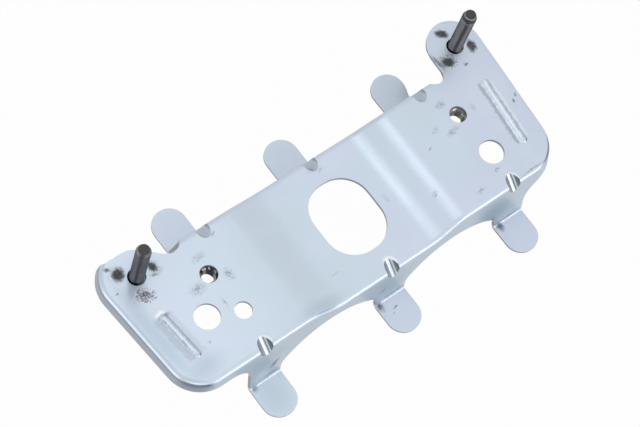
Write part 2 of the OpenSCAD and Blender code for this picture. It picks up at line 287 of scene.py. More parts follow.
RING_EDGE = 1.1
COATS: tuple[Coat, ...] = (
    # Bluish patches of painted shade.
    Coat(Trace.SHEEN, 0.2, 0.8, "steel_blue"),
    # Painted shade in creases, at the feet's roots and along bends.
    Coat(Trace.SOIL, 0.1, 0.95, "shade"),
    # Painted highlights.
    Coat(Trace.BRIGHT, 0.3, 1.0, "bright"),
    Coat(Trace.SMEAR, 0.1, 0.8, "burn", (0.4, 0.62, 0.12, 0.8)),
    Coat(Trace.SCUFF, 0.2, 0.7, "burn", (0.4, 0.58)),
    Coat(Trace.RING, 0.2, 1.0, "burn", (0.62, 0.42, 0.35, 0.95)),
    # The ring marks' white speckled outline, partly a painted highlight.
    Coat(Trace.RING, RING_EDGE, 1.0, "bright", (0.48, 0.58, 0.0, 0.95), 0.5),
    Coat(Trace.RING, RING_EDGE, 1.0, "burn", (0.5, 0.4, 0.0, 0.9), 0.5),
    Coat(Trace.BURN, 0.5, 1.0, "burn", (0.72, 0.5, 0.85, 1.0)),
    Coat(Trace.DIRT, 0.1, 0.85, "soot_and_shadow"),
)


@dataclass(frozen=True)
class Corner:
    """A bent corner painted with shade: the range of its normal's x and y, and a band of its z."""

    x: Pair
    y: Pair
    z: Triple
    share: float


# Bent corners that get painted shade.
CORNERS: tuple[Corner, ...] = (
    Corner((0.1, 0.35), (-0.15, -0.35), (0.72, 0.1, 0.18), 0.85),
    Corner((-0.15, -0.35), (-0.25, -0.5), (0.44, 0.14, 0.28), 1.0),
)


class Graph:
    """A short way to write the node tree of a material or of the world."""

    NUMBERS = ("LENGTH", "DOT_PRODUCT")
    MIX_INPUTS = (6, 7)
    MIX_RESULT = 2

    def __init__(self, owner: bpy.types.ID) -> None:
        """Empties the owner's node tree.

        Args:
            owner: The material or world whose nodes are written.
        """
        owner.use_nodes = True
        self.nodes = owner.node_tree.nodes
        self.links = owner.node_tree.links
        self.nodes.clear()

    def add(self, kind: str, inputs: dict | None = None, **settings: object) -> bpy.types.Node:
        """Adds a node.

        Args:
            kind: The node's type, without the leading ShaderNode.
            inputs: Values or sockets for its inputs, by name or number.
            **settings: Properties of the node itself.

        Returns:
            The new node.
        """
        node = self.nodes.new("ShaderNode" + kind)
        for name, value in settings.items():
            setattr(node, name, value)
        for name, value in (inputs or {}).items():
            self.put(node.inputs[name], value)
        return node

    def put(self, socket: Socket, value: object) -> None:
        """Links a socket or sets its value.

        Args:
            socket: The input to fill.
            value: Another node's output, or a plain value.
        """
        if isinstance(value, Socket):
            self.links.new(value, socket)
        else:
            socket.default_value = value

    def math(self, operation: str, *values: object) -> Socket:
        """Works out one number from others, by the operation's name."""
        return self.add("Math", dict(enumerate(values)), operation=operation).outputs[0]

    def vector(self, operation: str, *values: object) -> Socket:
        """Works out a vector, a length or a dot product, by the operation's name."""
        node = self.add("VectorMath", dict(enumerate(values)), operation=operation)
        return node.outputs["Value" if operation in self.NUMBERS else "Vector"]

    def parts(self, vector: Socket) -> dict[str, Socket]:
        """Splits a vector into its X, Y and Z."""
        return self.add("SeparateXYZ", {0: vector}).outputs

    def times(self, *values: object) -> Socket:
        """Multiplies numbers.

        Args:
            *values: Numbers or sockets.

        Returns:
            The product.
        """
        product = values[0]
        for value in values[1:]:
            product = self.math("MULTIPLY", product, value)
        return product

    def blend(self, share: object, first: object, second: object) -> Socket:
        """Mixes two colours.

        Args:
            share: How much of the second colour shows.
            first: The colour at share 0.
            second: The colour at share 1.

        Returns:
            The mixed colour's socket.
        """
        node = self.add("Mix", {"Factor": share}, data_type="RGBA")
        for number, colour in zip(self.MIX_INPUTS, (first, second)):
            self.put(node.inputs[number], colour)
        return node.outputs[self.MIX_RESULT]

    def ramp(
        self, value: object, low: float, high: float, start: float = 0.0, end: float = 1.0
    ) -> Socket:
        """Eases a value from one range to another.

        Args:
            value: The value to read.
            low: Where the result is start.
            high: Where the result is end.
            start: The result at low.
            end: The result at high.

        Returns:
            The eased value's socket.
        """
        limits = {"From Min": low, "From Max": high, "To Min": start, "To Max": end}
        eased = self.add("MapRange", {"Value": value} | limits, interpolation_type="SMOOTHSTEP")
        return eased.outputs[0]

    def band(self, value: object, middle: float, inner: float, outer: float) -> Socket:
        """Marks the values near a middle: 1 inside the inner half width, 0 past the outer."""
        away = self.math("ABSOLUTE", self.math("SUBTRACT", value, middle))
        return self.ramp(away, inner, outer, 1.0, 0.0)


class Skin(Graph):
    """The graph of a new material, whose colour builds up coat by coat."""

    def __init__(self, name: str, base: Colour) -> None:
        """Starts the material.

        Args:
            name: The material's name.
            base: The colour under all coats.
        """
        self.material = bpy.data.materials.new(name)
        super().__init__(self.material)
        self.place = self.add("TexCoord").outputs["Object"]
        self.at = self.parts(self.place)
        self.colour: object = base

    def cover(self, tone: object, *shares: object) -> None:
        """Covers the colour with a tone, as far as the shares, multiplied, let it show."""
        self.colour = self.blend(self.times(*shares), self.colour, tone)

    def about(self, place: Socket, middle: Triple, turn: Triple, size: Triple) -> Socket:
        """Gives coordinates about a turned middle, measured by a size."""
        numbers = {"Vector": place, "Location": middle, "Rotation": turn, "Scale": size}
        return self.add("Mapping", numbers, vector_type="TEXTURE").outputs[0]

    def facing(self, kind: str = "Normal") -> dict[str, Socket]:
        """Gives the parts of the surface's smooth direction, or of its True Normal."""
        return self.parts(self.add("NewGeometry").outputs[kind])

    def noise(self, grain: Triple, stretch: float = 1.0, channel: str = "Fac") -> Socket:
        """Adds a noise pattern.

        Args:
            grain: Waves for each metre, the number of finer octaves, and their share.
            stretch: How fast it changes upward, against sideways.
            channel: The output that is read.

        Returns:
            The noise's socket.
        """
        place = self.add("Mapping", {"Vector": self.place, "Scale": (1.0, 1.0, stretch)})
        numbers = dict(zip(("Scale", "Detail", "Roughness"), grain), Vector=place.outputs[0])
        return self.add("TexNoise", numbers).outputs[channel]

    def bump(
        self, height: Socket, strength: float, distance: float, under: Socket | None = None
    ) -> Socket:
        """Turns a height into a rough normal.

        Args:
            height: The height to read.
            strength: How strongly it shows.
            distance: How tall it is, in metres.
            under: A rough normal that it is added to.

        Returns:
            The normal's socket.
        """
        numbers = {"Strength": strength, "Distance": distance, "Height": height}
        if under is not None:
            numbers["Normal"] = under
        return self.add("Bump", numbers).outputs[0]

    def finish(self, rough: Socket, metallic: float, normal: Socket) -> bpy.types.Material:
        """Ends the material with its shader.

        Args:
            rough: The roughness.
            metallic: How metallic it is.
            normal: The rough normal.

        Returns:
            The material.
        """
        numbers = {"Base Color": self.colour, "Roughness": rough, "Metallic": metallic}
        shader = self.add("BsdfPrincipled", numbers | {"Normal": normal})
        self.add("OutputMaterial", {0: shader.outputs[0]})
        return self.material


@dataclass(frozen=True)
class DartLook:
    """How shade and highlight are painted into a stiffening dart, by slope and by millimetres off
    its middle line.
    """

    near_half_pitch: float = 30.6 * MM
    far_half_pitch: float = 26.6 * MM
    near_from: float = -5 * MM
    slope: Pair = (0.97, 0.92)
    lean: Pair = (0.97, 0.93)
    width: Pair = (2.75, 3.05)
    share: float = 0.9
    outline: Range = (2.2, 2.8, 0.0, 0.6)
    left_wall: Pair = (-0.6, -0.9)
    # Lines painted along a near dart: a painted highlight on its right side, painted shade on its
    # left side, and a painted highlight along its bottom.
    lines: tuple[Band, ...] = (
        Band(1.7, 0.05, 0.4, "reflection_streak"),
        Band(-2.6, 0.1, 0.5, "wall_shade"),
        Band(0.25, 0.4, 0.8, "bright"),
    )
    lip_level: Pair = (0.98, 0.99)
    lip_from: Pair = (-2.5, -0.5)
    lip_share: float = 0.75
    zone_edge: float = 1.0
    lip_edge: float = 1.1


@dataclass(frozen=True)
class ZincFinish:
    """Satin zinc plating on the stamping, with the marks that welding and handling left, and with
    painted shade and highlights on its slopes, bends, beads and darts.

    The pairs named for a slope or a side are ranges of the surface normal's parts. A rough tuple
    holds a noise's range and the roughness at its ends.
    """

    name: str = "zinc_plating"
    cyan: Colour = rgb(201, 215, 228)
    lavender: Colour = rgb(203, 213, 230)
    light: Colour = rgb(208, 219, 233)
    # Painted shade on faces tilted more than about 57 degrees from level.
    steep_shade: Colour = rgb(186, 198, 211)
    # Painted shade on the recess ramp that faces -x, and in the beads' valleys.
    drawn: Colour = rgb(148, 159, 172)
    cut_edge: Colour = rgb(138, 143, 153)
    # Painted highlight along the top of the feet's cut edges.
    edge_highlight: Colour = rgb(226, 232, 240)
    burn: Colour = rgb(64, 66, 69)
    # Painted shade on the end flanges, which face along x.
    flange: Colour = rgb(164, 170, 181)
    # Painted shade along the end bends and the bent corners.
    bend_shade: Colour = rgb(92, 105, 120)
    soot_and_shadow: Colour = rgb(50, 55, 64)
    shade: Colour = rgb(86, 102, 114)
    # Near white: painted highlight on the beads, darts and highlight marks, and the white speckled
    # outline of the ring marks, partly a painted highlight.
    bright: Colour = rgb(238, 243, 248)
    # Bluish tone of the painted shade patches.
    steel_blue: Colour = rgb(148, 171, 184)
    # Painted shade inside the darts: a lighter tone for every dart, and darker ones on the near
    # darts' walls.
    wall_shade: Colour = rgb(104, 118, 128)
    far_wall_shade: Colour = rgb(182, 193, 204)
    left_wall_shade: Colour = rgb(146, 157, 168)
    # Painted highlight along the right side of the near darts.
    reflection_streak: Colour = rgb(172, 183, 190)
    metallic: float = 0.4
    dart: DartLook = DartLook()
    cloud_noise: Triple = (24.0, 2.0, 0.5)
    haze_noise: Triple = (60.0, 2.0, 0.5)
    speckle_noise: Triple = (1500.0, 2.0, 0.6)
    grain_noise: Triple = (5200.0, 2.0, 0.5)
    bead_noise: Triple = (700.0, 3.0, 0.55)
    rim_noise: Triple = (620.0, 3.0, 0.6)
    rim_shift: float = 2.2 * MM
    mark_end: float = 1.35
    cloud_range: Pair = (0.42, 0.58)
    haze_range: Range = (0.45, 0.75, 0.0, 0.5)
    bead_wave: Range = (0.3, 0.7, -0.35, 0.35)
    bead_fade: float = 0.12
    steep_slope: Pair = (0.55, 0.3)
    ramp_slope: Pair = (0.965, 0.945)
    ramp_side: Pair = (-0.1, -0.2)
    ramp_share: float = 0.15
    end_side: Pair = (0.3, 0.55)
    end_slope: Pair = (0.45, 0.3)
    fold_band: Triple = (0.42, 0.04, 0.16)
    fold_share: float = 0.7
    edge_slope: Pair = (0.12, 0.05)
    highlight_from: Pair = (0.9 * MM, 1.1 * MM)
    highlight_to: Pair = (2.0 * MM, 1.7 * MM)
    top_slope: Pair = (0.2, 0.5)
    skirt_side: Pair = (-0.3, -0.6)
    rough: Range = (0.3, 0.7, 0.3, 0.36)
    burn_rough: float = 0.25
    grain_bump: Pair = (0.06, 0.4 * MM)
    speckle_height: float = 0.5
    crust_bump: Pair = (0.35, 0.25 * MM)

    def spot(self, skin: Skin, mark: Mark, place: Socket, edge: float) -> Socket:
        """Makes the distance from a mark's middle, 1 at its rim, and fades it to a mask.

        Args:
            skin: The material's graph.
            mark: The mark to draw.
            place: Coordinates in the row frame.
            edge: The distance at which the mask begins to fade.

        Returns:
            The mask's socket, already times the mark's strength.
        """
        across = mark.x * MM + Plate.shift()
        if mark.face is Face.TOP:
            middle = (across, mark.v * MM, 0.0)
            turn = (0.0, 0.0, math.radians(mark.turn))
            size = (mark.long * MM, mark.wide * MM, 1.0)
            keep = (1.0, 1.0, 0.0)
        else:
            middle = (across, 0.0, mark.v * MM + Plate.top())
            turn = (0.0, -math.radians(mark.turn), 0.0)
            size = (mark.long * MM, 1.0, mark.wide * MM)
            keep = (1.0, 0.0, 1.0)
        local = skin.about(place, middle, turn, size)
        reach = skin.vector("LENGTH", skin.vector("MULTIPLY", local, keep))
        return skin.ramp(reach, edge, self.mark_end, mark.strength, 0.0)

    def masks(
        self, skin: Skin, trace: Trace, place: Socket, edge: float, sides: dict[Face, Socket]
    ) -> Socket:
        """Joins every mark of one kind, each only on its own face.

        Args:
            skin: The material's graph.
            trace: The kind of mark.
            place: Coordinates in the row frame.
            edge: Where each mark begins to fade.
            sides: Where each face's marks may show.

        Returns:
            The joined mask's socket.
        """
        total: object = 0.0
        for face, side in sides.items():
            found: object = 0.0
            for mark in (m for m in MARKS if m.trace is trace and m.face is face):
                found = skin.math("MAXIMUM", found, self.spot(skin, mark, place, edge))
            if isinstance(found, Socket):
                total = skin.math("MAXIMUM", total, skin.times(found, side))
        return total

    def bead(self, skin: Skin, bead: Bead) -> None:
        """Paints shade and highlight across one bead's width: painted shade in its valleys, and a
        painted highlight on its crest and shoulder.

        Args:
            skin: The material's graph.
            bead: Where the bead lies, and its bands.
        """
        middle = (bead.x * MM + Plate.shift(), bead.y * MM, 0.0)
        turn = (0.0, 0.0, math.radians(bead.turn))
        local = skin.parts(skin.about(skin.place, middle, turn, (MM, bead.half * MM, 1.0)))
        wave = skin.ramp(skin.noise(self.bead_noise), *self.bead_wave)
        off = skin.math("ADD", local["X"], wave)
        for band in bead.bands:
            along = skin.band(local["Y"], 0.0, band.end - self.bead_fade, band.end)
            across = skin.band(off, band.middle, band.inner, band.outer)
            skin.cover(getattr(self, band.tone), along, across, band.share)

    def dart_line(self, skin: Skin) -> tuple[Socket, Socket]:
        """Finds how far each point lies from the middle line of the nearest dart.

        Args:
            skin: The material's graph.

        Returns:
            The distance in millimetres, and the share of the near side.
        """
        across = skin.math("SUBTRACT", skin.at["X"], Plate.shift())
        near = skin.ramp(skin.at["Y"], 0.0, self.dart.near_from)
        far = skin.math("SUBTRACT", 1.0, near)
        offs = [
            skin.times(side, skin.math("WRAP", across, half, -half))
            for side, half in ((near, self.dart.near_half_pitch), (far, self.dart.far_half_pitch))
        ]
        return skin.math("DIVIDE", skin.math("ADD", *offs), MM), near

    def grooves(self, skin: Skin, normal: dict[str, Socket]) -> Socket:
        """Paints the stiffening darts: a painted highlight along the bottom between walls of
        painted shade, and a painted highlight on the lips.

        Args:
            skin: The material's graph.
            normal: The smooth normal's parts.

        Returns:
            The mask of the darts' walls.
        """
        dart = self.dart
        off, near = self.dart_line(skin)
        anywhere = {Face.TOP: 1.0}
        zone = self.masks(skin, Trace.DART, skin.place, dart.zone_edge, anywhere)
        lean = skin.ramp(skin.math("ABSOLUTE", normal["Y"]), *dart.lean)
        pressed = skin.times(skin.ramp(normal["Z"], *dart.slope), lean)
        sunk = skin.times(zone, pressed, skin.band(off, 0.0, *dart.width))
        here = skin.times(sunk, near)
        # Painted shade inside every dart, darker on the near darts' walls, with painted lines along
        # them.
        skin.cover(self.far_wall_shade, sunk, dart.share)
        skin.cover(self.wall_shade, sunk, skin.ramp(skin.math("ABSOLUTE", off), *dart.outline))
        skin.cover(self.wall_shade, here)
        skin.cover(self.left_wall_shade, here, skin.ramp(off, *dart.left_wall))
        for line in dart.lines:
            across = skin.band(off, line.middle, line.inner, line.outer)
            skin.cover(getattr(self, line.tone), here, across)
        # Painted highlight on the lips of the near darts.
        lip_highlight = self.masks(skin, Trace.LIP, skin.place, dart.lip_edge, anywhere)
        level = skin.ramp(normal["Z"], *dart.lip_level)
        skin.cover(self.bright, lip_highlight, level, skin.ramp(off, *dart.lip_from), dart.lip_share)
        return sunk

    def pressed(self, skin: Skin) -> None:
        """Paints shade on sloping faces, end flanges, bends, corners and ramps, shade and highlight
        into the beads and darts, and the cut edges' colour, with a painted highlight along the
        feet's top edges.

        Args:
            skin: The material's graph.
        """
        normal = skin.facing()
        # Painted shade on faces tilted more than about 57 degrees from level.
        skin.cover(self.steep_shade, skin.ramp(normal["Z"], *self.steep_slope))
        # Painted shade on the recess ramp that faces -x.
        slope = skin.ramp(normal["Z"], *self.ramp_slope)
        skin.cover(self.drawn, slope, skin.ramp(normal["X"], *self.ramp_side), self.ramp_share)
        # Painted shade on the end flanges.
        endward = skin.ramp(skin.math("ABSOLUTE", normal["X"]), *self.end_side)
        skin.cover(self.flange, endward, skin.ramp(normal["Z"], *self.end_slope))
        # A line of painted shade along the end bends.
        skin.cover(self.bend_shade, endward, skin.band(normal["Z"], *self.fold_band), self.fold_share)
        # Painted shade on the bent corners.
        for corner in CORNERS:
            along, across = skin.ramp(normal["X"], *corner.x), skin.ramp(normal["Y"], *corner.y)
            skin.cover(self.bend_shade, along, across, skin.band(normal["Z"], *corner.z), corner.share)
        for bead in BEADS:
            self.bead(skin, bead)
        sunk = self.grooves(skin, normal)
        upright = skin.math("ABSOLUTE", skin.facing("True Normal")["Z"])
        cut = skin.times(skin.ramp(upright, *self.edge_slope), skin.math("SUBTRACT", 1.0, sunk))
        skin.cover(self.cut_edge, cut)
        # Painted highlight along the top of the feet's cut edges.
        above = skin.ramp(skin.at["Z"], *self.highlight_from)
        skin.cover(self.edge_highlight, cut, above, skin.ramp(skin.at["Z"], *self.highlight_to))

    def ragged(self, skin: Skin) -> Socket:
        """Shakes the coordinates a little, so that the marks' rims are uneven.

        Args:
            skin: The material's graph.

        Returns:
            The shaken coordinates.
        """
        uneven = skin.noise(self.rim_noise, channel="Color")
        centred = skin.vector("SUBTRACT", uneven, (0.5, 0.5, 0.5))
        shift = skin.vector("MULTIPLY", centred, (self.rim_shift,) * 3)
        return skin.vector("ADD", skin.place, shift)

    def marked(self, skin: Skin, speckle: Socket) -> tuple[Socket, Socket]:
        """Adds the weld burns, ring marks, smears, scuffs and dirt, and the patches and lines of
        painted shade and painted highlight.

        Args:
            skin: The material's graph.
            speckle: A fine noise that breaks the marks up.

        Returns:
            The burn mask and the ring mask.
        """
        facing = skin.facing()
        sides = {
            Face.TOP: skin.ramp(facing["Z"], *self.top_slope),
            Face.SKIRT: skin.ramp(facing["Y"], *self.skirt_side),
        }
        shaken = self.ragged(skin)
        covered = {}
        for coat in COATS:
            zone = self.masks(skin, coat.trace, shaken, coat.edge, sides)
            if coat.hollow:
                middle = self.masks(skin, coat.trace, shaken, coat.hollow, sides)
                zone = skin.math("SUBTRACT", zone, middle)
            if coat.grain:
                zone = skin.times(zone, skin.ramp(speckle, *coat.grain))
            covered[coat.trace] = skin.times(zone, coat.share)
            skin.cover(getattr(self, coat.tone), covered[coat.trace])
        ring = self.masks(skin, Trace.RING, shaken, RING_EDGE, sides)
        return covered[Trace.BURN], ring

    def make(self) -> bpy.types.Material:
        """Writes the material.

        Returns:
            The zinc plating.
        """
        skin = Skin(self.name, self.cyan)
        haze = skin.noise(self.haze_noise)
        speckle = skin.noise(self.speckle_noise)
        skin.cover(self.lavender, skin.ramp(skin.noise(self.cloud_noise), *self.cloud_range))
        skin.cover(self.light, skin.ramp(haze, *self.haze_range))
        self.pressed(skin)
        burn, ring = self.marked(skin, speckle)
        rough = skin.math("ADD", skin.ramp(haze, *self.rough), skin.times(burn, self.burn_rough))
        pores = skin.times(speckle, self.speckle_height)
        height = skin.math("ADD", skin.noise(self.grain_noise), pores)
        crust = skin.times(skin.math("MAXIMUM", ring, burn), speckle)
        normal = skin.bump(crust, *self.crust_bump, skin.bump(height, *self.grain_bump))
        return skin.finish(rough, self.metallic, normal)


@dataclass(frozen=True)
class Ring:
    """A worn ring round a stud: how far below its end, its half width and its colour."""

    below: float
    half: float
    colour: Colour
    sides_only: bool = False


@dataclass(frozen=True)
class StudFinish:
    """Dark steel, its thread formed by rolling, with painted reflection streaks, a painted dark
    reflection band, painted shade at its sides, a painted shadow in the plate's hole, and worn
    rings at its end.

    Ranges across the stud are shares of its radius, along the direction that across gives.
    """

    name: str
    middle: Vector
    radius: float
    seat: float
    end: float
    rings: tuple[Ring, ...]
    side: Colour
    across: Triple = (0.5, -0.866, 0.0)
    # Painted dark reflection: a band along the stud, and the dark of its painted reflection
    # streaks.
    dark_reflection: Colour = rgb(52, 53, 58)
    # Painted shade at the stud's two sides.
    rim: Colour = rgb(64, 64, 76)
    face: Colour = rgb(70, 70, 72)
    # Painted shadow in the plate's hole round the stud's foot, and pale painted light on its side
    # toward the across direction.
    soot_and_shadow: Colour = rgb(10, 10, 14)
    gap_light: Colour = rgb(150, 158, 170)
    metallic: float = 0.8
    stretch: float = 0.1
    streak_noise: Triple = (1300.0, 3.0, 0.6)
    mottle_noise: Triple = (700.0, 3.0, 0.6)
    fine_noise: Triple = (3000.0, 2.0, 0.5)
    streak_range: Range = (0.35, 0.65, 0.0, 0.3)
    stripe_band: Triple = (0.16, 0.08, 0.34)
    stripe_share: float = 0.9
    rim_range: Range = (0.7, 0.92, 0.0, 0.85)
    sides_middle: float = 0.1
    sides_range: Range = (0.2, 0.5, 0.15, 1.0)
    ring_inner: float = 0.6
    ring_outer: float = 1.4
    wear: Range = (0.3, 0.55, 0.35, 1.0)
    face_from: Pair = (-0.08 * MM, -0.03 * MM)
    shadow_from: Pair = (0.5 * MM, -0.2 * MM)
    gap_range: Pair = (0.8, 0.45)
    rough: Range = (0.3, 0.7, 0.38, 0.52)
    bump: Pair = (0.12, 0.2 * MM)

    def wear_rings(self, skin: Skin, across: Socket, mottle: Socket) -> None:
        """Adds the worn rings near the stud's end.

        Args:
            skin: The material's graph.
            across: How far off the middle a point lies, as a share of the radius.
            mottle: A noise that breaks the rings up.
        """
        off = skin.math("ABSOLUTE", skin.math("SUBTRACT", across, self.sides_middle))
        sides = skin.ramp(off, *self.sides_range)
        worn = skin.ramp(mottle, *self.wear)
        for ring in self.rings:
            inner, outer = ring.half * self.ring_inner, ring.half * self.ring_outer
            shown = skin.band(skin.at["Z"], self.end - ring.below, inner, outer)
            skin.cover(ring.colour, shown, worn, sides if ring.sides_only else 1.0)

    def make(self) -> bpy.types.Material:
        """Writes the material.

        Returns:
            The stud's dark steel.
        """
        skin = Skin(self.name, self.side)
        axis = tuple(part / self.radius for part in self.across)
        local = skin.vector("SUBTRACT", skin.place, tuple(self.middle))
        across = skin.vector("DOT_PRODUCT", local, axis)
        # Lengthwise noise for painted reflection streaks.
        reflection_streak = skin.noise(self.streak_noise, self.stretch)
        mottle = skin.noise(self.mottle_noise)
        # Painted reflection: dark streaks, a dark band just off the middle, and painted shade at
        # the two sides.
        skin.cover(self.dark_reflection, skin.ramp(reflection_streak, *self.streak_range))
        skin.cover(self.dark_reflection, skin.band(across, *self.stripe_band), self.stripe_share)
        skin.cover(self.rim, skin.ramp(skin.math("ABSOLUTE", across), *self.rim_range))
        self.wear_rings(skin, across, mottle)
        skin.cover(self.face, skin.ramp(skin.at["Z"], *(self.end + d for d in self.face_from)))
        # Below the plate's top face the stud is painted: a painted shadow on most of it, and pale
        # painted light on the side toward the across direction.
        gap = skin.blend(skin.ramp(across, *self.gap_range), self.gap_light, self.soot_and_shadow)
        skin.cover(gap, skin.ramp(skin.at["Z"], *(self.seat + d for d in self.shadow_from)))
        normal = skin.bump(skin.noise(self.fine_noise), *self.bump)
        return skin.finish(skin.ramp(mottle, *self.rough), self.metallic, normal)


@dataclass(frozen=True)
class NutFinish:
    """Oiled steel, with painted shade on the flange top and in the bore, painted reflection streaks
    in the bore, and painted glints at the countersink.
    """

    name: str
    middle: Vector
    flange_top: float
    bore: float
    # Painted shade: the colour of the bore and of the flange top, which lie in shade under the
    # plate.
    dark: Colour
    # Painted reflection streaks in the bore.
    reflection_streak: Colour = rgb(168, 170, 164)
    # Painted glints at the countersink.
    glint: Colour = rgb(240, 240, 236)
    outside: Colour = rgb(110, 112, 116)
    metallic: float = 0.85
    stretch: float = 0.12
    streak_noise: Triple = (520.0, 2.0, 0.5)
    fine_noise: Triple = (2600.0, 2.0, 0.5)
    streak_range: Pair = (0.44, 0.62)
    glint_from: Pair = (-1.3 * MM, -0.5 * MM)
    glint_range: Pair = (0.5, 0.6)
    bore_past: Pair = (0.6 * MM, 0.75 * MM)
    top_from: Pair = (-0.3 * MM, -0.1 * MM)
    rough: Range = (0.3, 0.7, 0.3, 0.46)
    bump: Pair = (0.15, 0.2 * MM)

    def make(self) -> bpy.types.Material:
        """Writes the material.

        Returns:
            The nut's steel.
        """
        skin = Skin(self.name, self.dark)
        local = skin.vector("SUBTRACT", skin.place, tuple(self.middle))
        away = skin.vector("LENGTH", skin.vector("MULTIPLY", local, (1.0, 1.0, 0.0)))
        lengthwise = skin.noise(self.streak_noise, self.stretch)
        fine = skin.noise(self.fine_noise)
        # Painted reflection streaks in the bore.
        skin.cover(self.reflection_streak, skin.ramp(lengthwise, *self.streak_range))
        # Painted glints near the top of the bore.
        top = skin.ramp(skin.at["Z"], *(self.flange_top + d for d in self.glint_from))
        skin.cover(self.glint, top, skin.ramp(lengthwise, *self.glint_range))
        # Painted shade on the flange top, seen through the plate's hole.
        shaded_top = skin.ramp(skin.at["Z"], *(self.flange_top + d for d in self.top_from))
        outer = skin.blend(shaded_top, self.outside, self.dark)
        skin.cover(outer, skin.ramp(away, *(self.bore + d for d in self.bore_past)))
        normal = skin.bump(fine, *self.bump)
        return skin.finish(skin.ramp(fine, *self.rough), self.metallic, normal)


class Shop:
    """The few workshop steps that the pieces share."""

    ROUND_SIDES = 64
    RIDGE_FOOT = 0.94
    TURN_STEPS = 32
    SAME_POINT = 1e-7

    @staticmethod
    def clear() -> None:
        """Deselects everything."""
        bpy.ops.object.select_all(action="DESELECT")

    @staticmethod
    def pick(piece: bpy.types.Object) -> None:
        """Selects one piece alone and makes it active.

        Args:
            piece: The piece to work on.
        """
        Shop.clear()
        piece.select_set(True)
        bpy.context.view_layer.objects.active = piece

    @staticmethod
    def choose(piece: bpy.types.Object, test: Callable[[Vector], bool]) -> None:
        """Opens a piece in edit mode with only some of its points selected.

        Args:
            piece: The piece to open.
            test: Says of a point's place whether it is selected.
        """
        Shop.pick(piece)
        bpy.ops.object.mode_set(mode="EDIT")
        bpy.ops.mesh.select_mode(type="VERT")
        bpy.ops.mesh.select_all(action="DESELECT")
        bpy.ops.object.mode_set(mode="OBJECT")
        for vertex in piece.data.vertices:
            vertex.select = test(vertex.co)
        bpy.ops.object.mode_set(mode="EDIT")

    @staticmethod
    def turned(name: str, stations: list[Pair]) -> bpy.types.Object:
        """Turns a solid body about the z axis.

        Args:
            name: The new object's name.
            stations: Radius and height at each step, from the bottom up.

        Returns:
            The turned object, at the origin.
        """
        Shop.clear()
        radius, height = stations[0]
        bpy.ops.mesh.primitive_circle_add(
            vertices=Shop.ROUND_SIDES, radius=radius, fill_type="NGON", location=(0, 0, height)
        )
        piece = bpy.context.object
        piece.name = name
        bpy.ops.object.transform_apply(location=True, rotation=True, scale=True)
        bpy.ops.object.mode_set(mode="EDIT")
        for new_radius, new_height in stations[1:]:
            rise = (0, 0, new_height - height)
            bpy.ops.mesh.extrude_region_move(TRANSFORM_OT_translate={"value": rise})
            scale = new_radius / radius
            bpy.ops.transform.resize(value=(scale, scale, 1), center_override=(0, 0, new_height))
            radius, height = new_radius, new_height
        bpy.ops.mesh.select_all(action="SELECT")
        bpy.ops.mesh.fill_holes(sides=0)
        bpy.ops.mesh.normals_make_consistent(inside=False)
        bpy.ops.object.mode_set(mode="OBJECT")
        return piece

    @staticmethod
    def ridge(
        root: float, crest: float, low: float, pitch: float, turns: int, flat: float
    ) -> bpy.types.Object:
        """Winds a thread's ridge about the z axis.

        Args:
            root: Radius at the thread's root.
            crest: Radius at its crest, less than root for a nut.
            low: Height at which the thread starts.
            pitch: Rise of one turn.
            turns: How many turns there are.
            flat: Width of the flat crest, as a share of the ridge's foot.

        Returns:
            The wound ridge, at the origin.
        """
        Shop.clear()
        depth = abs(crest - root)
        middle = (crest + root) / 2
        upright = (math.radians(90), 0, 0)
        bpy.ops.mesh.primitive_plane_add(size=1, location=(middle, 0, low), rotation=upright)
        piece = bpy.context.object
        piece.name = "thread"
        piece.scale = (depth, pitch * Shop.RIDGE_FOOT, 1)
        bpy.ops.object.transform_apply(location=True, rotation=True, scale=True)
        Shop.choose(piece, lambda place: abs(place.x - crest) < depth / 2)
        bpy.ops.transform.resize(value=(1, 1, flat), center_override=(crest, 0, low))
        bpy.ops.object.mode_set(mode="OBJECT")
        wind = piece.modifiers.new("wind", "SCREW")
        wind.axis = "Z"
        wind.angle = math.tau
        wind.screw_offset = pitch
        wind.iterations = turns
        wind.steps = wind.render_steps = Shop.TURN_STEPS
        Shop.apply(piece)
        bpy.ops.object.mode_set(mode="EDIT")
        bpy.ops.mesh.select_all(action="SELECT")
        bpy.ops.mesh.remove_doubles(threshold=Shop.SAME_POINT)
        bpy.ops.mesh.fill_holes(sides=4)
        bpy.ops.mesh.select_all(action="SELECT")
        bpy.ops.mesh.normals_make_consistent(inside=False)
        bpy.ops.object.mode_set(mode="OBJECT")
        return piece

    @staticmethod
    def apply(piece: bpy.types.Object) -> None:
        """Applies every modifier of a piece.

        Args:
            piece: The piece that has them.
        """
        Shop.pick(piece)
        for modifier in list(piece.modifiers):
            bpy.ops.object.modifier_apply(modifier=modifier.name)

    @staticmethod
    def combine(piece: bpy.types.Object, tool: bpy.types.Object, operation: str) -> None:
        """Cuts a piece with a tool, or adds the tool to it, and removes the tool.

        Args:
            piece: The piece that stays.
            tool: The solid that cuts or adds.
            operation: The boolean's name.
        """
        step = piece.modifiers.new("combine", "BOOLEAN")
        step.operation = operation
        step.object = tool
        step.solver = "EXACT"
        Shop.apply(piece)
        bpy.data.objects.remove(tool)

    @staticmethod
    def join(piece: bpy.types.Object, *others: bpy.types.Object) -> None:
        """Joins other objects into a piece.

        Args:
            piece: The piece that stays.
            *others: The objects that go into it.
        """
        Shop.pick(piece)
        for other in others:
            other.select_set(True)
        bpy.ops.object.join()

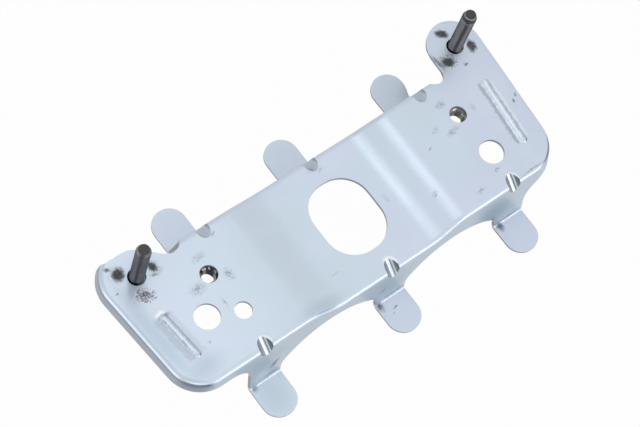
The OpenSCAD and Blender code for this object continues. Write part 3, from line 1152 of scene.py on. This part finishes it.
    @staticmethod
    def settle(piece: bpy.types.Object, at: Vector, angle: float = 30.0) -> None:
        """Moves a finished piece to its place, with its object back at the origin.

        Args:
            piece: The piece to place.
            at: Where its own origin goes.
            angle: Edges flatter than this, in degrees, are shaded smooth.
        """
        Shop.pick(piece)
        piece.location = at
        bpy.ops.object.transform_apply(location=True, rotation=True, scale=True)
        bpy.ops.object.shade_smooth_by_angle(angle=math.radians(angle))

    @staticmethod
    def dress(piece: bpy.types.Object, material: bpy.types.Material, slot: str, node: str) -> None:
        """Gives a piece its material and ties it to its solid.

        Args:
            piece: The finished piece.
            material: Its material.
            slot: The record's material slot; not used.
            node: The solid that it stands for.
        """
        piece.data.materials.clear()
        piece.data.materials.append(material)
        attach(piece, BODY)
        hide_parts(node)
        log.info("%s stands for %s, %d faces", piece.name, node, len(piece.data.polygons))


@dataclass
class Plate:
    """The folded stamping, taken from its solid. Its two angles are in degrees."""

    node: str = "bracket_plate"
    slot: str = "zinc_sheet"
    weld_gap: float = 0.002 * MM
    flat_within: float = 0.2
    smooth_below: float = 32.0

    @staticmethod
    def shift() -> float:
        """How far the middle foot of the near side lies along x from the row's origin."""
        low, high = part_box("weld_stud_left")
        return (low.x + high.x) / 2 + STUD_TO_FOOT

    @staticmethod
    def top() -> float:
        """The height of the plate's top face."""
        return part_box("weld_nut_left")[1].z + SHEET

    def build(self, finish: ZincFinish) -> bpy.types.Object:
        """Copies the solid, merges its loose triangles and shades its bends smooth.

        Args:
            finish: The plating.

        Returns:
            The finished plate.
        """
        Shop.clear()
        source = frame["nodes"][self.node]
        piece = source.copy()
        piece.data = source.data.copy()
        piece.name = "pressed_plate"
        piece.parent = None
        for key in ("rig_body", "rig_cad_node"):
            del piece[key]
        bpy.context.scene.collection.objects.link(piece)
        Shop.pick(piece)
        bpy.ops.mesh.customdata_custom_splitnormals_clear()
        bpy.ops.object.mode_set(mode="EDIT")
        bpy.ops.mesh.select_all(action="SELECT")
        bpy.ops.mesh.remove_doubles(threshold=self.weld_gap)
        bpy.ops.mesh.dissolve_limited(angle_limit=math.radians(self.flat_within))
        bpy.ops.object.mode_set(mode="OBJECT")
        Shop.settle(piece, Vector(), self.smooth_below)
        Shop.dress(piece, finish.make(), self.slot, self.node)
        return piece


@dataclass
class WeldStud:
    """A threaded stud with a weld flange under the plate and a pointed end.

    plain is the shank below the thread, tip the step of the point's bevels, and buried how deep
    the thread's foot lies in the core.
    """

    side: str
    rings: tuple[Ring, ...]
    tone: Colour
    slot: str = "stud_steel"
    radius: float = 2.95 * MM
    root: float = 2.75 * MM
    neck: float = 2.65 * MM
    pitch: float = 1.0 * MM
    flange: float = 9.0 * MM
    flange_t: float = 2.0 * MM
    plain: float = 1.0 * MM
    point: float = 2.15 * MM
    point_drop: float = 1.8 * MM
    edge: float = 0.3 * MM
    tip: float = 0.1 * MM
    buried: float = 0.04 * MM
    crest_flat: float = 0.55

    def build(self) -> bpy.types.Object:
        """Turns the stud, winds its thread and places it.

        Returns:
            The finished stud.
        """
        node = "weld_stud_" + self.side
        low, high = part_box(node)
        tall = high.z - low.z
        seat = self.flange_t + SHEET
        start = seat + self.plain
        chamfer = tall - self.point_drop
        edge = self.edge
        stations = [
            (self.flange - edge, 0.0),
            (self.flange, edge),
            (self.flange, self.flange_t - edge),
            (self.flange - edge, self.flange_t),
            (self.neck, self.flange_t),
            (self.neck, seat - edge),
            (self.radius, seat),
            (self.radius, start),
            (self.root, start + edge),
            (self.root, chamfer - 2 * edge),
            (self.radius, chamfer - edge),
            (self.radius - self.tip, chamfer),
            (self.point + self.tip, tall - 2 * self.tip),
            (self.point, tall),
        ]
        piece = Shop.turned("stud_" + self.side, stations)
        turns = int((chamfer - 2 * edge - start) / self.pitch)
        foot = self.root - self.buried
        first = start + self.pitch / 2
        ridge = Shop.ridge(foot, self.radius, first, self.pitch, turns, self.crest_flat)
        Shop.join(piece, ridge)
        middle = Vector(((low.x + high.x) / 2, (low.y + high.y) / 2, low.z))
        Shop.settle(piece, middle)
        name = "stud_steel_" + self.side
        finish = StudFinish(name, middle, self.radius, low.z + seat, high.z, self.rings, self.tone)
        Shop.dress(piece, finish.make(), self.slot, node)
        return piece


@dataclass
class WeldNut:
    """A flanged hexagon weld nut with its thread.

    bevel is cut off the hexagon's lower corners, covered is how far its top lies inside the
    flange, and lead how far the thread starts above the countersink.
    """

    side: str
    # Painted shade in the bore and on the flange top.
    inside: Colour
    slot: str = "nut_steel"
    flats: float = 10.0 * MM
    flange: float = 9.0 * MM
    flange_t: float = 1.6 * MM
    bore: float = 2.75 * MM
    crest: float = 2.55 * MM
    sink: float = 0.65 * MM
    pitch: float = 1.0 * MM
    edge: float = 0.3 * MM
    bevel: Pair = (0.75 * MM, 0.5 * MM)
    covered: float = 0.5 * MM
    lead: float = 0.2 * MM
    buried: float = 0.04 * MM
    crest_flat: float = 0.4
    outer_room: float = 0.1 * MM
    inner_room: float = 0.05 * MM

    def build(self) -> bpy.types.Object:
        """Makes the hexagon, its flange and the threaded bore, and places the nut.

        Returns:
            The finished nut.
        """
        node = "weld_nut_" + self.side
        low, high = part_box(node)
        tall = high.z - low.z
        half_side = math.radians(30)
        corner = self.flats / 2 / math.cos(half_side)
        depth = tall - self.covered
        Shop.clear()
        bpy.ops.mesh.primitive_cylinder_add(
            vertices=6, radius=corner, depth=depth, location=(0, 0, depth / 2)
        )
        hexagon = bpy.context.object
        hexagon.name = "nut_" + self.side
        hexagon.rotation_euler.z = half_side
        bpy.ops.object.transform_apply(location=True, rotation=True, scale=True)
        over = corner + self.outer_room
        inset, rise = self.bevel
        cone = [(corner - inset, 0.0), (over, rise), (over, tall)]
        Shop.combine(hexagon, Shop.turned("cone", cone), "INTERSECT")
        disc = [
            (self.flange - self.edge, tall - self.flange_t),
            (self.flange, tall - self.flange_t + self.edge),
            (self.flange, tall),
        ]
        Shop.combine(hexagon, Shop.turned("disc", disc), "UNION")
        past = self.inner_room
        hole = [
            (self.bore + self.sink + past, -past),
            (self.bore, self.sink),
            (self.bore, tall - self.sink),
            (self.bore + self.sink + past, tall + past),
        ]
        Shop.combine(hexagon, Shop.turned("hole", hole), "DIFFERENCE")
        turns = int((tall - 2 * self.sink) / self.pitch)
        foot = self.bore + self.buried
        first = self.sink + self.lead
        ridge = Shop.ridge(foot, self.crest, first, self.pitch, turns, self.crest_flat)
        Shop.join(hexagon, ridge)
        middle = Vector(((low.x + high.x) / 2, (low.y + high.y) / 2, low.z))
        Shop.settle(hexagon, middle)
        finish = NutFinish("nut_steel_" + self.side, middle, high.z, self.bore, self.inside)
        Shop.dress(hexagon, finish.make(), self.slot, node)
        return hexagon


@dataclass(frozen=True)
class Lamp:
    """A soft lamp: the direction toward it, its distance, its sides and its power in watts."""

    name: str
    toward: Triple
    distance: float
    size: Pair
    power: float


@dataclass
class Studio:
    """The pale floor, the soft lamps and the camera, which stands off the middle foot."""

    focal: float = 117.86
    sensor: float = 36.0
    far_clip: float = 20.0
    stand: Triple = (-0.315209, -0.172161, 0.713417)
    turn: tuple[Triple, ...] = (
        (0.77921293, 0.49717546, -0.38163304),
        (-0.59979227, 0.76820082, -0.22386767),
        (0.1818693, 0.40334113, 0.89679401),
    )
    spread: float = 3.0
    sky: float = 0.71
    floor_grey: float = 0.2
    glow_share: float = 0.985
    lamps: tuple[Lamp, ...] = (
        Lamp("left", (-0.945, 0.113, 0.303), 1.4, (1.0, 0.7), 4.0),
        Lamp("front_left", (-0.554, -0.714, 0.424), 1.4, (0.8, 0.8), 3.0),
        Lamp("front", (0.38, -0.90, 0.18), 1.4, (1.0, 0.5), 4.4),
        Lamp("overhead", (0.09, 0.22, 0.97), 1.6, (0.3, 0.5), 1.0),
    )

    def seen(self, graph: Graph) -> Socket:
        """Tells the rays that show the background from those that light the part.

        Args:
            graph: The graph of the floor or of the surroundings.

        Returns:
            1 for the rays that show it, else 0.
        """
        path = graph.add("LightPath").outputs
        shown = graph.math("MAXIMUM", path["Is Camera Ray"], path["Is Glossy Ray"])
        return graph.math("MAXIMUM", shown, path["Is Transmission Ray"])

    def floor(self) -> bpy.types.Object:
        """Lays the pale floor that the feet stand on.

        Returns:
            The floor.
        """
        Shop.clear()
        bpy.ops.mesh.primitive_plane_add(size=self.spread, location=(0, 0, CAD_LOW.z))
        floor = bpy.context.object
        floor.name = "floor"
        material = bpy.data.materials.new("pale_floor")
        graph = Graph(material)
        grey = self.floor_grey
        diffuse = graph.add("BsdfDiffuse", {"Color": (grey, grey, grey, 1.0)})
        glow = graph.add("Emission", {"Color": (1.0, 1.0, 1.0, 1.0), "Strength": 1.0})
        share = graph.times(self.seen(graph), self.glow_share)
        mixed = graph.add("MixShader", {0: share, 1: diffuse.outputs[0], 2: glow.outputs[0]})
        graph.add("OutputMaterial", {0: mixed.outputs[0]})
        floor.data.materials.append(material)
        return floor

    def world(self) -> None:
        """Makes the surroundings white to the camera and soft on the part."""
        world = bpy.data.worlds.new("surroundings")
        bpy.context.scene.world = world
        graph = Graph(world)
        light = graph.ramp(self.seen(graph), 0.0, 1.0, self.sky, 1.0)
        back = graph.add("Background", {"Color": (1.0, 1.0, 1.0, 1.0), "Strength": light})
        graph.add("OutputWorld", {0: back.outputs[0]})

    def hang(self, lamp: Lamp) -> None:
        """Hangs one soft lamp aimed at the part.

        Args:
            lamp: Where it hangs, its size and its power.
        """
        data = bpy.data.lights.new(lamp.name, "AREA")
        data.shape = "RECTANGLE"
        data.size, data.size_y = lamp.size
        data.energy = lamp.power
        hung = bpy.data.objects.new(lamp.name, data)
        direction = Vector(lamp.toward).normalized()
        hung.location = direction * lamp.distance
        hung.rotation_euler = direction.to_track_quat("Z", "Y").to_euler()
        bpy.context.scene.collection.objects.link(hung)

    def camera(self) -> bpy.types.Object:
        """Sets the camera at the photograph's place and angle.

        Returns:
            The camera.
        """
        data = bpy.data.cameras.new("camera")
        data.sensor_width = self.sensor
        data.lens = self.focal
        data.clip_end = self.far_clip
        camera = bpy.data.objects.new("camera", data)
        place = Vector(self.stand) + Vector((Plate.shift(), 0.0, Plate.top()))
        camera.matrix_world = Matrix.Translation(place) @ Matrix(self.turn).to_4x4()
        bpy.context.scene.collection.objects.link(camera)
        bpy.context.scene.camera = camera
        return camera

    def build(self) -> None:
        """Sets up the whole studio."""
        self.floor()
        self.world()
        for lamp in self.lamps:
            self.hang(lamp)
        self.camera()
        bpy.context.scene.view_settings.view_transform = "Standard"


LEFT_RINGS = (Ring(0.9 * MM, 0.8 * MM, rgb(124, 124, 122), True),)
RIGHT_RINGS = (
    Ring(0.3 * MM, 0.18 * MM, rgb(160, 158, 154)),
    Ring(1.6 * MM, 0.7 * MM, rgb(58, 54, 62)),
    Ring(3.4 * MM, 0.25 * MM, rgb(124, 122, 124)),
)


def main() -> None:
    """Builds every piece in order."""
    logging.basicConfig(level=logging.INFO, format="%(name)s: %(message)s")
    Plate().build(ZincFinish())
    # The last colour of each end is its nut's painted shade in the bore and on the flange top,
    # lighter for the right nut.
    ends = (
        ("left", LEFT_RINGS, rgb(88, 90, 96), rgb(42, 44, 48)),
        ("right", RIGHT_RINGS, rgb(114, 115, 120), rgb(96, 98, 94)),
    )
    for side, rings, tone, inside in ends:
        WeldStud(side, rings, tone).build()
        WeldNut(side, inside).build()
    Studio().build()


if __name__ == "__main__":
    main()
